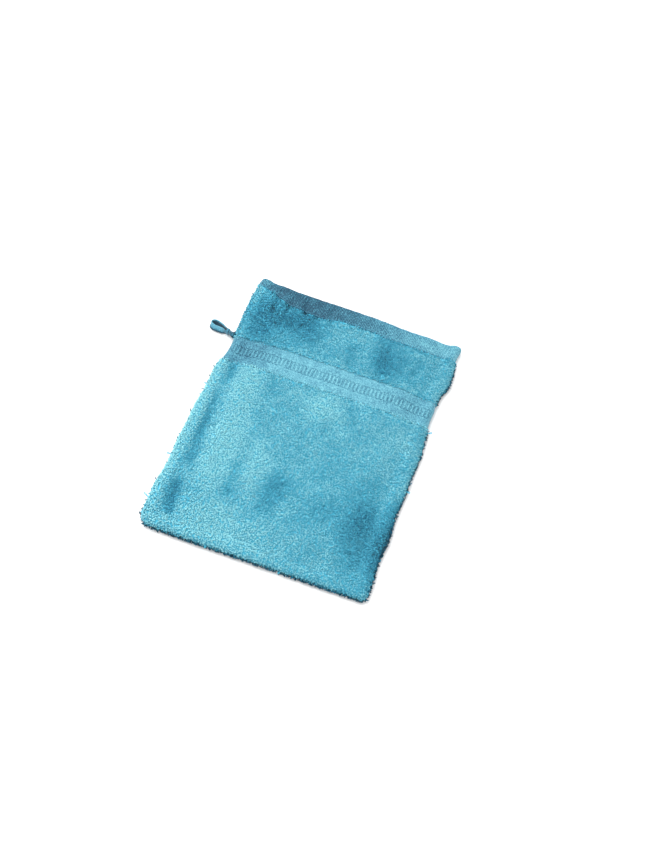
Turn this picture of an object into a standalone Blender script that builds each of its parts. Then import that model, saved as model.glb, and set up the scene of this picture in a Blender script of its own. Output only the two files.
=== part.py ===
"""Terry wash mitt, lying on its back panel: two terry panels sewn along three sides,
a hemmed mouth, and a tape loop in the left side seam to hang it by.

Metres, +Z up, +Y towards the mouth. The origin is under the middle of the mitt, on the
surface that the mitt lies on. Run with: blender --background --python part.py
"""

import bmesh
import bpy
import numpy as np
from mathutils import Vector

# The cut of the mitt
mitt_width = 0.160
mitt_length = 0.210
left_corner_radius = 0.009
right_corner_radius = 0.0045

# Heights of the two panels as they lie on each other
seam_top_of_back = 0.0034
seam_gap = 0.0003
edge_drop = 0.0022
edge_radius = 0.0034
seam_allowance = 0.0070
crown_width = 0.0240
crown_height = 0.0052
pocket_height = 0.0054

# The flat-woven parts of the cloth, which lie lower than the pile around them
hem_depth = 0.0120
hem_recess = 0.0010
border_centre = 0.0410
border_half_width = 0.0110
border_recess = 0.0012
step_half_width = 0.0005

# Sewing threads
overlock_radius = 0.00035
overlock_reach = 0.0012
overlock_pitch = 0.0060
overlock_inset = 0.0112
hem_thread_radius = 0.00025
hem_stitch_inset = 0.0016
thread_clearance = 0.0002

# The hanging loop: a flat tape folded in half, its two ends together in the side seam
tape_width = 0.0046
tape_thickness = 0.0010
loop_root_y = 0.0556
loop_root_gap = 0.0017
loop_heading = 12.5
loop_rest_drop = 0.0012
leg_spacing = 0.00065
eye_half_width = 0.0032
eye_centre = 0.0100
eye_reach = 0.0064
tack_start = 0.0016
tack_length = 0.0024
tack_wall = 0.0004
tack_clearance = 0.00015
tack_wraps = 4
tack_valley = 0.45
twist_start = 0.0043
twist_end = 0.0080

seam_height = seam_top_of_back + seam_gap / 2
half_width = mitt_width / 2
half_length = mitt_length / 2


def smooth(t):
    """0 before t = 0, 1 after t = 1, an S curve between."""
    t = np.clip(t, 0.0, 1.0)
    return t * t * (3.0 - 2.0 * t)


def quarter_round(t):
    """0 at t = 0, rising like a quarter circle to 1 at t = 1."""
    return np.sqrt(1.0 - (1.0 - np.clip(t, 0.0, 1.0)) ** 2)


def make_material(name, colour, roughness):
    material = bpy.data.materials.new(name)
    material.use_nodes = True
    shader = material.node_tree.nodes["Principled BSDF"]
    shader.inputs["Base Color"].default_value = (*colour, 1.0)
    shader.inputs["Roughness"].default_value = roughness
    shader.inputs["Metallic"].default_value = 0.0
    material.diffuse_color = (*colour, 1.0)
    return material


def link(obj, material):
    bpy.context.scene.collection.objects.link(obj)
    obj.data.materials.append(material)
    return obj


def add_mesh(name, points, faces, material, place=(0.0, 0.0, 0.0)):
    """A mesh object whose points are given in the world, with its origin at place."""
    mesh = bpy.data.meshes.new(name)
    mesh.from_pydata([tuple(Vector(p) - Vector(place)) for p in points], [], faces)
    shape = bmesh.new()
    shape.from_mesh(mesh)
    bmesh.ops.remove_doubles(shape, verts=shape.verts, dist=1e-6)
    bmesh.ops.recalc_face_normals(shape, faces=shape.faces)
    shape.to_mesh(mesh)
    shape.free()
    mesh.shade_smooth()
    mesh.set_sharp_from_angle(angle=0.7)
    obj = link(bpy.data.objects.new(name, mesh), material)
    obj.location = place
    return obj


def add_thread(name, points, radius, material):
    """A closed thread along a row of points."""
    curve = bpy.data.curves.new(name, "CURVE")
    curve.dimensions = "3D"
    curve.bevel_depth = radius
    curve.bevel_resolution = 1
    curve.use_fill_caps = True
    spline = curve.splines.new("POLY")
    spline.points.add(len(points) - 1)
    for point, place in zip(spline.points, points):
        point.co = (*place, 1.0)
    return link(bpy.data.objects.new(name, curve), material)


def plan(side_steps, end_steps):
    """The cut on a grid. side_steps run in from each side, end_steps up from the closed end.

    Returns x, y and the distance in from the sewn edges.
    """
    columns = sorted({-half_width + s for s in side_steps} | {half_width - s for s in side_steps})
    u, v = np.meshgrid(np.array(columns), np.array(end_steps) - half_length, indexing="ij")
    from_side = half_width - np.abs(u)
    from_end = v + half_length
    radius = np.where(u < 0.0, left_corner_radius, right_corner_radius)
    a = np.clip(1.0 - from_side / radius, 0.0, 1.0)
    b = np.clip(1.0 - from_end / radius, 0.0, 1.0)
    in_corner = (a > 0.0) & (b > 0.0)
    round_a = a * np.sqrt(1.0 - b * b / 2.0)
    round_b = b * np.sqrt(1.0 - a * a / 2.0)
    x = np.where(in_corner, np.sign(u) * (half_width - radius * (1.0 - round_a)), u)
    y = np.where(in_corner, -half_length + radius * (1.0 - round_b), v)
    corner_inset = radius * (1.0 - np.hypot(round_a, round_b))
    inset = np.where(in_corner, corner_inset, np.minimum(from_side, from_end))
    return x, y, np.maximum(inset, 0.0)


def recess(y, inset):
    """How much lower the hem and the border lie than the pile, fading out at the edge."""
    from_hem = y - (half_length - hem_depth)
    hem = hem_recess * smooth((from_hem + step_half_width) / (2 * step_half_width))
    border_edge = border_half_width + step_half_width - np.abs(y - border_centre)
    border = border_recess * smooth(border_edge / (2 * step_half_width))
    return (hem + border) * smooth(inset / edge_radius)


def front_outer(inset, y):
    rounding = edge_drop * (1.0 - quarter_round(inset / edge_radius))
    crown = crown_height * smooth((inset - edge_radius) / (crown_width - edge_radius))
    top = seam_height * 2.0 - rounding + crown
    return top - recess(y, inset)


def front_inner(inset):
    rise = (inset - seam_allowance) / (crown_width - seam_allowance)
    dome = 0.5 * quarter_round(rise) + 0.5 * smooth(rise)
    return seam_top_of_back + seam_gap + pocket_height * dome


def back_outer(inset, y):
    return edge_drop * (1.0 - quarter_round(inset / edge_radius)) + recess(y, inset)


def closed_panel(name, x, y, low, high, material):
    """One closed body between two height fields on the same grid."""
    columns, rows = x.shape
    points = np.stack([np.stack([x, y, low], -1), np.stack([x, y, high], -1)]).reshape(-1, 3)
    number = np.arange(2 * columns * rows).reshape(2, columns, rows)
    faces = []
    for layer in (0, 1):
        for i in range(columns - 1):
            for j in range(rows - 1):
                corners = number[layer, [i, i + 1, i + 1, i], [j, j, j + 1, j + 1]]
                faces.append([int(n) for n in corners])
    rim = [(i, 0) for i in range(columns)]
    rim += [(columns - 1, j) for j in range(1, rows)]
    rim += [(i, rows - 1) for i in range(columns - 2, -1, -1)]
    rim += [(0, j) for j in range(rows - 2, 0, -1)]
    for here, there in zip(rim, rim[1:] + rim[:1]):
        faces.append([int(number[0][here]), int(number[0][there]), int(number[1][there]), int(number[1][here])])
    return add_mesh(name, points, faces, material)


def border_rows():
    """Rows across the flat border, from the closed end's edge of the cloth."""
    edges = [border_half_width + step_half_width, border_half_width - step_half_width]
    centre = border_centre + half_length
    return [centre - edges[0], centre - edges[1], centre, centre + edges[1], centre + edges[0]]


def hem_rows():
    fold = mitt_length - hem_depth
    return [fold - step_half_width, fold + step_half_width, mitt_length]


def front_steps():
    """Distances in from a sewn edge where the front panel's curve needs a line of points."""
    edge = [0.0, 0.0005, 0.0013, 0.0023, edge_radius, 0.0055, seam_allowance, 0.0085]
    return edge + [0.0112, 0.0150, 0.0190, crown_width]


def add_front_panel(material):
    x, y, inset = plan(
        front_steps() + [0.045, half_width],
        front_steps() + [0.055, 0.090, 0.118] + border_rows() + [0.175] + hem_rows(),
    )
    return closed_panel("front_panel", x, y, front_inner(inset), front_outer(inset, y), material)


def add_back_panel(material):
    """The panel that the mitt lies on, flat inside and under its pile."""
    edge = [0.0, 0.0005, 0.0013, 0.0023, edge_radius, 0.0060, left_corner_radius]
    x, y, inset = plan(
        edge + [half_width],
        edge + [0.070] + border_rows() + hem_rows(),
    )
    top = np.full_like(x, seam_top_of_back)
    return closed_panel("back_panel", x, y, back_outer(inset, y), top, material)


def overlock(start, end, inward):
    """A zigzag between two points on the pocket's floor, its middle on the line between them."""
    start, end, inward = Vector(start), Vector(end), Vector(inward)
    quarters = 4 * round((end - start).length / overlock_pitch)
    beat = (0.0, 1.0, 0.0, -1.0)
    return [start.lerp(end, i / quarters) + inward * (overlock_reach * beat[i % 4]) for i in range(quarters + 1)]


def add_seam_threads(material):
    height = seam_top_of_back + thread_clearance + overlock_radius
    side = half_width - overlock_inset
    low = -half_length + overlock_inset + 0.0040
    high = half_length - 0.0015
    left = overlock((-side, low, height), (-side, high, height), (1, 0, 0))
    right = overlock((side, low, height), (side, high, height), (-1, 0, 0))
    end_y = -half_length + overlock_inset
    end = overlock((-side + 0.0030, end_y, height), (side - 0.0030, end_y, height), (0, 1, 0))
    add_thread("left_seam_thread", left, overlock_radius, material)
    add_thread("right_seam_thread", right, overlock_radius, material)
    add_thread("end_seam_thread", end, overlock_radius, material)


def add_hem_threads(material):
    """Rows of stitches along both hems, on the outside, a little above the fold."""
    y = half_length - hem_depth + hem_stitch_inset
    from_side = np.array([step for step in front_steps() if step > edge_radius])
    xs = np.concatenate([from_side - half_width, half_width - from_side[::-1]])
    inset = half_width - np.abs(xs)
    lift = hem_thread_radius + thread_clearance
    front = front_outer(inset, np.full_like(xs, y)) + lift
    back = back_outer(inset, np.full_like(xs, y)) - lift
    for name, heights in (("front_hem_thread", front), ("back_hem_thread", back)):
        row = [(float(x), y, float(z)) for x, z in zip(xs, heights)]
        add_thread(name, row, hem_thread_radius, material)


def loop_axes():
    """The loop's heading away from the seam, across it to the mouth side, and up from the surface."""
    heading = np.radians(loop_heading)
    reach = eye_centre + eye_reach
    along = np.array([-np.cos(heading) * reach, np.sin(heading) * reach, -loop_rest_drop])
    along = along / np.linalg.norm(along)
    across = np.cross(along, [0.0, 0.0, 1.0])
    across = across / np.linalg.norm(across)
    return along, across, np.cross(across, along)


def loop_centreline(leg_steps, bend_steps):
    """Distance out and half spacing of the tape's middle, from one end round to the other.

    The legs lie together through the tack, part on an S curve, and meet in half an ellipse.
    """
    out = np.linspace(0.0, eye_centre, leg_steps)
    part = smooth((out - tack_start - tack_length) / (eye_centre - tack_start - tack_length))
    aside = leg_spacing + (eye_half_width - leg_spacing) * part
    turn = np.linspace(0.0, np.pi, bend_steps + 1)[1:-1]
    bend_out = eye_centre + eye_reach * np.sin(turn)
    bend_aside = eye_half_width * np.cos(turn)
    return np.concatenate([out, bend_out, out[::-1]]), np.concatenate([aside, bend_aside, -aside[::-1]])


def add_hanging_loop(root, material):
    along, across, up = loop_axes()
    out, aside = loop_centreline(22, 18)
    turned = np.radians(90.0) * (1.0 - smooth((out - twist_start) / (twist_end - twist_start)))
    spread = np.cos(turned)[:, None] * across + np.sin(turned)[:, None] * up
    width = np.cos(turned)[:, None] * up - np.sin(turned)[:, None] * across
    middle = root + out[:, None] * along + aside[:, None] * spread
    flow = np.gradient(middle, axis=0)
    thick = np.cross(flow, width)
    thick = thick / np.linalg.norm(thick, axis=1)[:, None]
    corners = [
        middle + s * thick * tape_thickness / 2 + w * width * tape_width / 2
        for s, w in ((1, 1), (1, -1), (-1, -1), (-1, 1))
    ]
    rings = np.stack(corners, 1)
    # The two ends are cut round the hinge line, so that they clear the seam as the loop swings.
    reach = leg_spacing + tape_thickness / 2
    for ring, centre in ((rings[0], middle[0]), (rings[-1], middle[-1])):
        from_middle = np.abs((ring - root) @ spread[0])
        ring -= np.sqrt(np.maximum(reach**2 - from_middle**2, 0.0))[:, None] * along
    count = len(rings)
    faces = [
        [4 * i + k, 4 * i + (k + 1) % 4, 4 * i + 4 + (k + 1) % 4, 4 * i + 4 + k]
        for i in range(count - 1)
        for k in range(4)
    ]
    faces += [[3, 2, 1, 0], [4 * count - 4, 4 * count - 3, 4 * count - 2, 4 * count - 1]]
    return add_mesh("hanging_loop", rings.reshape(-1, 3), faces, material, root)


def add_loop_tack(root, material):
    """Thread wound round both legs of the loop: a ribbed sleeve with the legs' outline inside."""
    along, across, up = loop_axes()
    sides = 24
    angle = np.linspace(0.0, 2.0 * np.pi, sides, endpoint=False)
    half_tape = tape_width / 2 + tack_clearance
    half_stack = leg_spacing + tape_thickness / 2 + tack_clearance
    outline = np.stack([np.cos(angle), np.sin(angle)], 1)
    square = outline / np.maximum(np.abs(outline[:, :1]), np.abs(outline[:, 1:]))
    hole = square * [half_tape, half_stack]
    steps = 2 * tack_wraps + 1
    rings = []
    for i in range(steps):
        out = tack_start + tack_length * i / (steps - 1)
        wall = tack_wall if i % 2 else tack_wall * tack_valley
        ring = hole + outline * wall
        rings.append([root + out * along + a * across + b * up for a, b in ring])
    for out in (tack_start + tack_length, tack_start):
        rings.append([root + out * along + a * across + b * up for a, b in hole])
    count = len(rings)
    faces = []
    for i in range(count):
        for k in range(sides):
            here, there = i * sides, (i + 1) % count * sides
            after = (k + 1) % sides
            faces.append([here + k, here + after, there + after, there + k])
    return add_mesh("loop_tack", np.array(rings).reshape(-1, 3), faces, material, root)


def build():
    for obj in list(bpy.data.objects):
        bpy.data.objects.remove(obj, do_unlink=True)
    terry = make_material("cotton terry", (0.075, 0.420, 0.540), 0.95)
    thread = make_material("polyester sewing thread", (0.090, 0.380, 0.480), 0.60)
    tape = make_material("cotton tape", (0.110, 0.400, 0.500), 0.85)

    # The front panel lifts about the closed end, where the two panels are sewn together.
    mouth_hinge = bpy.data.objects.new("mouth_hinge", None)
    mouth_hinge.location = (0.0, -half_length, seam_height)
    bpy.context.scene.collection.objects.link(mouth_hinge)

    front = add_front_panel(terry)
    add_back_panel(terry)
    add_seam_threads(thread)
    add_hem_threads(thread)
    for obj in (front, bpy.data.objects["front_hem_thread"]):
        obj.parent = mouth_hinge
        obj.location = -mouth_hinge.location

    # The loop swings about the side seam, where its two ends are sewn in.
    root = np.array([-half_width - loop_root_gap, loop_root_y, seam_height])
    add_hanging_loop(root, tape)
    add_loop_tack(root, thread)


build()
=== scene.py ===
import bpy
import numpy as np
from mathutils import Matrix, Vector


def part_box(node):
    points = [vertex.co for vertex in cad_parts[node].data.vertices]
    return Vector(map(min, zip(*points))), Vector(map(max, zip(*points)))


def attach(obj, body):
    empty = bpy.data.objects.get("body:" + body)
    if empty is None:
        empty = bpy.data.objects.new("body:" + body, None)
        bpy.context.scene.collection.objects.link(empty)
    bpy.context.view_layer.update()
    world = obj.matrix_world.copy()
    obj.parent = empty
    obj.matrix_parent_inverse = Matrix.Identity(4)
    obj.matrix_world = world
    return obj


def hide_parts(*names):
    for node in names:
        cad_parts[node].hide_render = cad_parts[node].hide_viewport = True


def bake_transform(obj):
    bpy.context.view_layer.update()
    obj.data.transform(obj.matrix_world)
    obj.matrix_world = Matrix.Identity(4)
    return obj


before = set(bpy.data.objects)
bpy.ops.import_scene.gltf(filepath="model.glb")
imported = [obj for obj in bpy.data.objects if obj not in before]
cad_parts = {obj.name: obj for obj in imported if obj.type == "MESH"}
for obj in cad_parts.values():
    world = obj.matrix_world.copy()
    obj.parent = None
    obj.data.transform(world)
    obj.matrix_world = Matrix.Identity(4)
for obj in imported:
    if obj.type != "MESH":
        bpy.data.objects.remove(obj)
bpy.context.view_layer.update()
mm = 0.001

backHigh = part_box("back_panel")[1]
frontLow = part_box("front_panel")[0]
halfWidth = backHigh.x
halfLength = backHigh.y
seamHeight = (backHigh.z + frontLow.z) / 2
print("frame loaded: a mitt", round(2 * halfWidth / mm), "by", round(2 * halfLength / mm), "mm")


def smooth(t):  # 0 before t = 0, 1 after t = 1, 3t^2 - 2t^3 between
    t = np.clip(t, 0.0, 1.0)
    return t * t * (3.0 - 2.0 * t)


def bump(t):  # 1 at t = 0, falling as (1 - t^2)^2 to 0 at t = -1 and 1
    return np.clip(1.0 - t * t, 0.0, 1.0) ** 2


def roundUp(t):  # a quarter circle: 0 at t = 0 rising to 1 at t = 1
    return np.sqrt(1.0 - (1.0 - np.clip(t, 0.0, 1.0)) ** 2)


def waves(x, y, size, seed, count=16):
    # A smooth random surface: plane waves about size long, in random directions and phases, summed.
    draw = np.random.default_rng(seed)
    total = np.zeros_like(x)
    for turn, phase, stretch in zip(*draw.random((3, count))):
        pace = 2 * np.pi / (size * (0.7 + 0.6 * stretch))
        heading = np.pi * turn
        total += np.cos(pace * (x * np.cos(heading) + y * np.sin(heading)) + 2 * np.pi * phase)
    return total / np.sqrt(count)


def nearLine(x, y, start, end):  # distance from a point to the straight line between two places
    start, end = np.array(start) * mm, np.array(end) * mm
    run = end - start
    share = np.clip(((x - start[0]) * run[0] + (y - start[1]) * run[1]) / (run @ run), 0.0, 1.0)
    return np.hypot(x - start[0] - share * run[0], y - start[1] - share * run[1])


def unit(vectors):  # each vector divided by its length
    return vectors / np.maximum(np.linalg.norm(vectors, axis=-1, keepdims=True), 1e-12)


def fillOut(wave, power):  # a sine or cosine with its shoulders filled out: its sign times |wave|^power
    return np.sign(wave) * np.abs(wave) ** power


def patchShade(x, y, patches):  # each patch changes the shade by a bump round its place; all of them summed
    total = 0.0 * x
    for (px, py), (reachX, reachY), change in patches:
        total = total + change * bump(np.hypot((x / mm - px) / reachX, (y / mm - py) / reachY))
    return total


def makePiece(name, points, faces, material):
    # faces is a list of arrays, one for each number of corners, each row one face.
    mesh = bpy.data.meshes.new(name)
    points = np.asarray(points, np.float32).reshape(-1, 3)
    corners = np.concatenate([f.ravel() for f in faces]).astype(np.int32)
    sizes = np.concatenate([np.full(len(f), f.shape[1]) for f in faces])
    starts = (np.cumsum(sizes) - sizes).astype(np.int32)
    mesh.vertices.add(len(points))
    mesh.vertices.foreach_set("co", points.ravel())
    mesh.loops.add(len(corners))
    mesh.loops.foreach_set("vertex_index", corners)
    mesh.polygons.add(len(sizes))
    mesh.polygons.foreach_set("loop_start", starts)
    mesh.update(calc_edges=True)
    mesh.shade_smooth()
    mesh.materials.append(material)
    piece = bpy.data.objects.new(name, mesh)
    bpy.context.scene.collection.objects.link(piece)
    return piece


def gridFaces(rows, columns, closedRows=False, closedColumns=False, first=0):
    # Quads joining neighbours on a grid of rows by columns; a closed side joins its last line to its first.
    i = np.arange(rows if closedRows else rows - 1)[:, None]
    j = np.arange(columns if closedColumns else columns - 1)[None, :]
    nextI, nextJ = (i + 1) % rows, (j + 1) % columns
    quads = [i * columns + j, nextI * columns + j, nextI * columns + nextJ, i * columns + nextJ]
    return first + np.stack(np.broadcast_arrays(*quads), -1).reshape(-1, 4)


def shellFaces(rows, columns):
    # A closed shell from two grids, the outer one first: both grids and the wall round their rims.
    top = gridFaces(rows, columns)
    under = gridFaces(rows, columns, first=rows * columns)[:, ::-1]
    number = np.arange(rows * columns).reshape(rows, columns)
    rim = np.concatenate([number[:-1, 0], number[-1, :-1], number[:0:-1, -1], number[0, :0:-1]])
    after = np.roll(rim, -1)
    lower = rows * columns
    wall = np.stack([rim, after, after + lower, rim + lower], -1)[:, ::-1]
    return [top, under, wall]


def tubeFaces(rings, sides):
    # Quads along a tube and one face closing each end.
    body = gridFaces(rings, sides, closedColumns=True)
    first = np.arange(sides)[None, ::-1]
    return [body, first[:, ::-1], first + (rings - 1) * sides]


def addAttribute(piece, name, values):
    attribute = piece.data.attributes.new(name, "FLOAT", "POINT")
    attribute.data.foreach_set("value", np.asarray(values, np.float32).ravel())


def linearColour(hexColour):  # an sRGB hex value as linear red, green, blue and a full alpha
    parts = [int(hexColour[i : i + 2], 16) / 255 for i in (1, 3, 5)]
    return [c / 12.92 if c <= 0.04045 else ((c + 0.055) / 1.055) ** 2.4 for c in parts] + [1.0]


def addNode(tree, kind, settings=None, links=None):
    # Adds one shader node. A setting is an input's value or one of the node's own options; a ramp's stops are
    # (place, hex colour) pairs.
    node = tree.nodes.new(kind)
    for name, value in (settings or {}).items():
        if name == "stops":
            marks = node.color_ramp.elements
            while len(marks) < len(value):
                marks.new(0.5)
            for mark, (place, hexColour) in zip(marks, value):
                mark.position = place
                mark.color = linearColour(hexColour)
        elif isinstance(name, int) or name in node.inputs:
            node.inputs[name].default_value = value
        else:
            setattr(node, name, value)
    for name, source in (links or {}).items():
        tree.links.new(source, node.inputs[name])
    return node


def startMaterial(name, settings):
    # An empty material with a Principled surface, whose fixed numbers sit on the shader's own sockets.
    material = bpy.data.materials.new(name)
    material.use_nodes = True
    tree = material.node_tree
    tree.nodes.clear()
    surface = addNode(tree, "ShaderNodeBsdfPrincipled", settings)
    addNode(tree, "ShaderNodeOutputMaterial", links={"Surface": surface.outputs["BSDF"]})
    return material, tree, surface


def waveScale(period):  # a wave texture repeats every pi / 10 divided by its scale
    return np.pi / 10 / period


def weave(tree, place, warpPitch, weftPitch):
    # Threads over and under each other: ribs along X times ribs along Y.
    ribs = {}
    for number, (direction, pitch) in enumerate([("X", warpPitch), ("Y", weftPitch)]):
        settings = {"bands_direction": direction, "Scale": waveScale(pitch)}
        ribs[number] = addNode(tree, "ShaderNodeTexWave", settings, {"Vector": place}).outputs["Fac"]
    return addNode(tree, "ShaderNodeMath", {"operation": "MULTIPLY"}, ribs).outputs["Value"]


# Looped cotton yarn, dyed and left uncut: each loop is soft and matt, pale where light grazes its fibres.
# Its colours run from a painted shade deep at the loops' roots, where they shade each other, up to the pale
# tips.
terryColour = {"root": "#0d4058", "side": "#2a87ab", "crest": "#5cc0da", "tip": "#a6edf7"}


def terryPile():
    soft = {"Roughness": 0.9, "IOR": 1.45, "Specular IOR Level": 0.2}
    sheen = {"Sheen Weight": 0.3, "Sheen Roughness": 0.5, "Sheen Tint": linearColour(terryColour["tip"])}
    material, tree, surface = startMaterial("looped cotton terry yarn", {**soft, **sheen})
    shade = addNode(tree, "ShaderNodeAttribute", {"attribute_name": "yarnShade"}).outputs["Fac"]
    stops = [*zip((0.0, 0.25, 0.6, 1.0), terryColour.values())]
    ramp = addNode(tree, "ShaderNodeValToRGB", {"stops": stops}, {"Fac": shade})
    tree.links.new(ramp.outputs["Color"], surface.inputs["Base Color"])
    return material


# The ground that the loops are woven into: plain weave in the same dyed cotton, in the loops' shade. Its
# threads are drawn about twice as far apart as real ones, so that they show.
groundColour = {"valley": "#4cb0cc", "thread": "#66c6de", "warpPitch": 0.9 * mm, "weftPitch": 0.7 * mm}


def terryGround():
    material, tree, surface = startMaterial(
        "plain-woven cotton ground", {"Roughness": 0.92, "IOR": 1.45, "Specular IOR Level": 0.2}
    )
    place = addNode(tree, "ShaderNodeTexCoord").outputs["Object"]
    threads = weave(tree, place, groundColour["warpPitch"], groundColour["weftPitch"])
    stops = [(0.1, groundColour["valley"]), (0.9, groundColour["thread"])]
    ramp = addNode(tree, "ShaderNodeValToRGB", {"stops": stops}, {"Fac": threads})
    tree.links.new(ramp.outputs["Color"], surface.inputs["Base Color"])
    relief = addNode(tree, "ShaderNodeBump", {"Strength": 0.5, "Distance": 0.2 * mm}, {"Height": threads})
    tree.links.new(relief.outputs["Normal"], surface.inputs["Normal"])
    return material


# Flat dobby and hem weave: mercerised threads without loops, so it is paler and a little silkier. Its threads
# are also drawn about twice as far apart as real ones.
flatColour = {
    "deep": "#0b384d",
    "valley": "#1b566f",
    "thread": "#4d90a5",
    "faded": "#78b9c5",
    "threadPitch": 0.62 * mm,
    "threadShare": 0.35,  # how much the threads show against the grain
    "contrast": 1.35,
}


def flatWeave():
    silky = {"Roughness": 0.72, "IOR": 1.5, "Specular IOR Level": 0.35}
    sheen = {"Sheen Weight": 0.3, "Sheen Roughness": 0.35}
    material, tree, surface = startMaterial("mercerised cotton flat weave", {**silky, **sheen})
    place = addNode(tree, "ShaderNodeTexCoord").outputs["Object"]
    threads = weave(tree, place, flatColour["threadPitch"], flatColour["threadPitch"])
    grain = addNode(tree, "ShaderNodeTexNoise", {"Scale": 1 / (0.8 * mm), "Detail": 1.0}, {"Vector": place})
    sharing = {"operation": "MULTIPLY_ADD", 1: flatColour["threadShare"]}
    mixed = addNode(tree, "ShaderNodeMath", sharing, {0: threads, 2: grain.outputs["Fac"]}).outputs["Value"]
    shade = addNode(tree, "ShaderNodeAttribute", {"attribute_name": "weaveShade"}).outputs["Fac"]
    shading = {"operation": "MULTIPLY_ADD", 1: flatColour["contrast"]}
    tone = addNode(tree, "ShaderNodeMath", shading, {0: mixed, 2: shade}).outputs["Value"]
    shades = [flatColour[part] for part in ("deep", "valley", "thread", "faded")]
    stops = [*zip((0.0, 0.2, 0.65, 1.0), shades)]
    ramp = addNode(tree, "ShaderNodeValToRGB", {"stops": stops}, {"Fac": tone})
    tree.links.new(ramp.outputs["Color"], surface.inputs["Base Color"])
    relief = addNode(tree, "ShaderNodeBump", {"Strength": 0.55, "Distance": 0.18 * mm}, {"Height": mixed})
    tree.links.new(relief.outputs["Normal"], surface.inputs["Normal"])
    return material


# Spun polyester sewing thread, dyed to match but darker, as painted shade where it winds the loop's neck
# and dips along the hem; its ply twist is painted in as small slanting glints.
threadColour = {"shade": "#1d657f", "light": "#418fa9", "ply": 0.45 * mm}


def sewingThread():
    material, tree, surface = startMaterial(
        "spun polyester sewing thread", {"Roughness": 0.55, "IOR": 1.55, "Sheen Weight": 0.2}
    )
    place = addNode(tree, "ShaderNodeTexCoord").outputs["Object"]
    slant = {"bands_direction": "DIAGONAL", "Scale": waveScale(threadColour["ply"])}
    ply = addNode(tree, "ShaderNodeTexWave", slant, {"Vector": place})
    stops = [(0.1, threadColour["shade"]), (0.9, threadColour["light"])]
    ramp = addNode(tree, "ShaderNodeValToRGB", {"stops": stops}, {"Fac": ply.outputs["Fac"]})
    tree.links.new(ramp.outputs["Color"], surface.inputs["Base Color"])
    return material


# Narrow woven cotton tape, a shade greyer than the cloth; its ribs run across it. Its tone also carries
# painted shade inside the eye, along its lower edges and at the neck, and painted light on its upper edges.
tapeColour = {"shade": "#123f52", "gap": "#3f8299", "rib": "#74b4c8", "worn": "#93c6d3", "ribShare": 0.6}


def cottonTape():
    material, tree, surface = startMaterial(
        "ribbed cotton tape", {"Roughness": 0.85, "IOR": 1.45, "Sheen Weight": 0.3, "Specular IOR Level": 0.3}
    )
    # the ribs together with the painted shade and light worked out in addTape
    rib = addNode(tree, "ShaderNodeAttribute", {"attribute_name": "tapeRib"}).outputs["Fac"]
    place = addNode(tree, "ShaderNodeTexCoord").outputs["Object"]
    grain = addNode(tree, "ShaderNodeTexNoise", {"Scale": 1 / (0.7 * mm), "Detail": 3.0}, {"Vector": place})
    sharing = {"operation": "MULTIPLY_ADD", 1: tapeColour["ribShare"]}
    mixed = addNode(tree, "ShaderNodeMath", sharing, {0: rib, 2: grain.outputs["Fac"]}).outputs["Value"]
    shades = [tapeColour[part] for part in ("shade", "gap", "rib", "worn")]
    stops = [*zip((0.0, 0.35, 0.7, 1.0), shades)]
    ramp = addNode(tree, "ShaderNodeValToRGB", {"stops": stops}, {"Fac": mixed})
    tree.links.new(ramp.outputs["Color"], surface.inputs["Base Color"])
    relief = addNode(tree, "ShaderNodeBump", {"Strength": 0.5, "Distance": 0.15 * mm}, {"Height": mixed})
    tree.links.new(relief.outputs["Normal"], surface.inputs["Normal"])
    return material


def paperFloor():  # a sheet of matt white card, with the faintest mottle of its fibres
    material, tree, surface = startMaterial("matt white card", {"Roughness": 0.9, "Specular IOR Level": 0.1})
    place = addNode(tree, "ShaderNodeTexCoord").outputs["Object"]
    mottle = addNode(tree, "ShaderNodeTexNoise", {"Scale": 20.0, "Detail": 2.0}, {"Vector": place})
    stops = [(0.3, "#f6f6f6"), (0.7, "#fafafa")]
    ramp = addNode(tree, "ShaderNodeValToRGB", {"stops": stops}, {"Fac": mottle.outputs["Fac"]})
    tree.links.new(ramp.outputs["Color"], surface.inputs["Base Color"])
    return material


# Where the camera stands, in degrees and metres.
studio = {
    "azimuth": 17.0,
    "elevation": 60.3,
    "roll": 4.24,
    "distance": 0.697,
    "aim": (0.0100, 0.0055, 0.0),
    "lens": 41.8,
}


def addCamera():
    # The eye stands off the aim along azimuth and elevation; right and up turn by roll about that line.
    azimuth, elevation, roll = np.radians([studio["azimuth"], studio["elevation"], studio["roll"]])
    level = np.cos(elevation)
    back = np.array([np.sin(azimuth) * level, -np.cos(azimuth) * level, np.sin(elevation)])
    right = unit(np.cross([0.0, 0.0, 1.0], back))
    up = np.cross(back, right)
    rolledRight = np.cos(roll) * right + np.sin(roll) * up
    rolledUp = np.cos(roll) * up - np.sin(roll) * right
    matrix = np.eye(4)
    matrix[:3, :3] = np.stack([rolledRight, rolledUp, back], 1)
    matrix[:3, 3] = np.array(studio["aim"]) + back * studio["distance"]
    camera = bpy.data.objects.new("camera", bpy.data.cameras.new("camera"))
    camera.data.lens = studio["lens"]
    camera.data.clip_start = 0.01
    bpy.context.scene.collection.objects.link(camera)
    camera.matrix_world = Matrix(matrix)
    bpy.context.scene.camera = camera


# The key light's place, power and size, the sky and the card, in metres and watts.
light = {
    "keyPlace": (-0.62, 0.28, 1.4),
    "keyPower": 24.5,
    "keySize": 1.6,
    "skyColour": "#ffffff",
    "skyStrength": 1.04,
    "floorSize": 12.0,
}


def addLight(name, kind, place, settings):  # a light at place, facing the mitt
    lamp = bpy.data.objects.new(name, bpy.data.lights.new(name, kind))
    for setting, value in settings.items():
        setattr(lamp.data, setting, value)
    lamp.location = place
    lamp.rotation_mode = "QUATERNION"
    lamp.rotation_quaternion = (-Vector(place)).to_track_quat("-Z", "Y")
    bpy.context.scene.collection.objects.link(lamp)


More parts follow.
